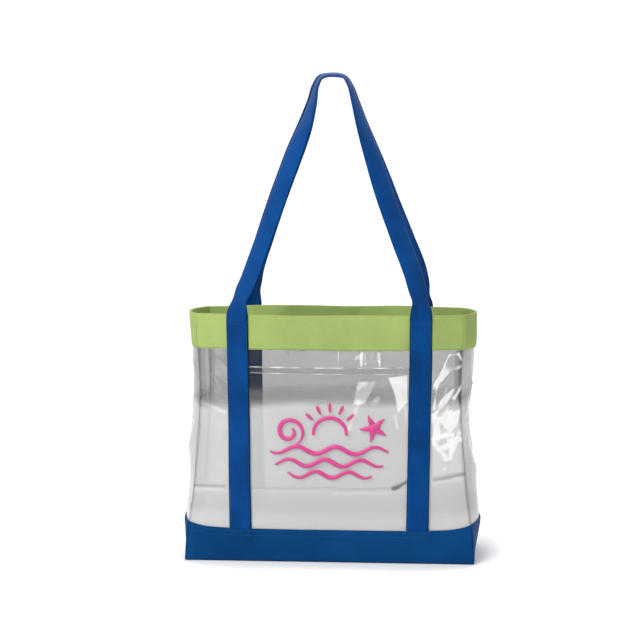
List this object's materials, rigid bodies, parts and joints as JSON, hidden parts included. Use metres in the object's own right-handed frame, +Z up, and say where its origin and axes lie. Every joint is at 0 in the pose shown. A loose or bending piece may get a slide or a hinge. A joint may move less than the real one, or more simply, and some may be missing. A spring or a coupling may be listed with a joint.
{
  "type": "beach tote bag",
  "caption": "Clear film beach tote with cloth top band, cloth base boot, front slip pocket, webbing straps up the walls and fold-down shoulder handles.",
  "frame": {"origin": "centre of the bag's base, on the surface it stands on", "axes": "+Z up through the handles, +X along the long side to the bag's right as seen from the front, -Y towards the front, where the slip pocket is"},
  "size_m": [0.4328, 0.1766, 0.7018],
  "materials": {
    "clear_film": "clear glossy flexible film",
    "pocket_film": "thinner clear glossy film",
    "green_cloth": "matt plain-woven lime polyester",
    "blue_cloth": "matt plain-woven royal blue polyester",
    "blue_webbing": "ribbed royal blue webbing"
  },
  "bodies": {
    "bag": {"front_clear_panel": "clear_film", "back_clear_panel": "clear_film", "left_clear_gusset": "clear_film", "right_clear_gusset": "clear_film", "front_top_band": "green_cloth", "back_top_band": "green_cloth", "left_top_band": "green_cloth", "right_top_band": "green_cloth", "base_wrap": "blue_cloth", "left_base_end": "blue_cloth", "right_base_end": "blue_cloth", "front_pocket": "pocket_film", "pocket_hem": "pocket_film", "front_left_strap": "blue_webbing", "front_right_strap": "blue_webbing", "back_left_strap": "blue_webbing", "back_right_strap": "blue_webbing"},
    "front_handle": {"front_handle": "blue_webbing"},
    "back_handle": {"back_handle": "blue_webbing"}
  },
  "joints": [
    {"name": "front_handle_fold", "type": "hinge", "parent": "bag", "child": "front_handle", "pos_m": [0, -0.08116, 0.3565], "axis": [1, 0, 0], "range_deg": [0, 175]},
    {"name": "back_handle_fold", "type": "hinge", "parent": "bag", "child": "back_handle", "pos_m": [0, 0.08116, 0.3565], "axis": [-1, 0, 0], "range_deg": [0, 175]}
  ]
}
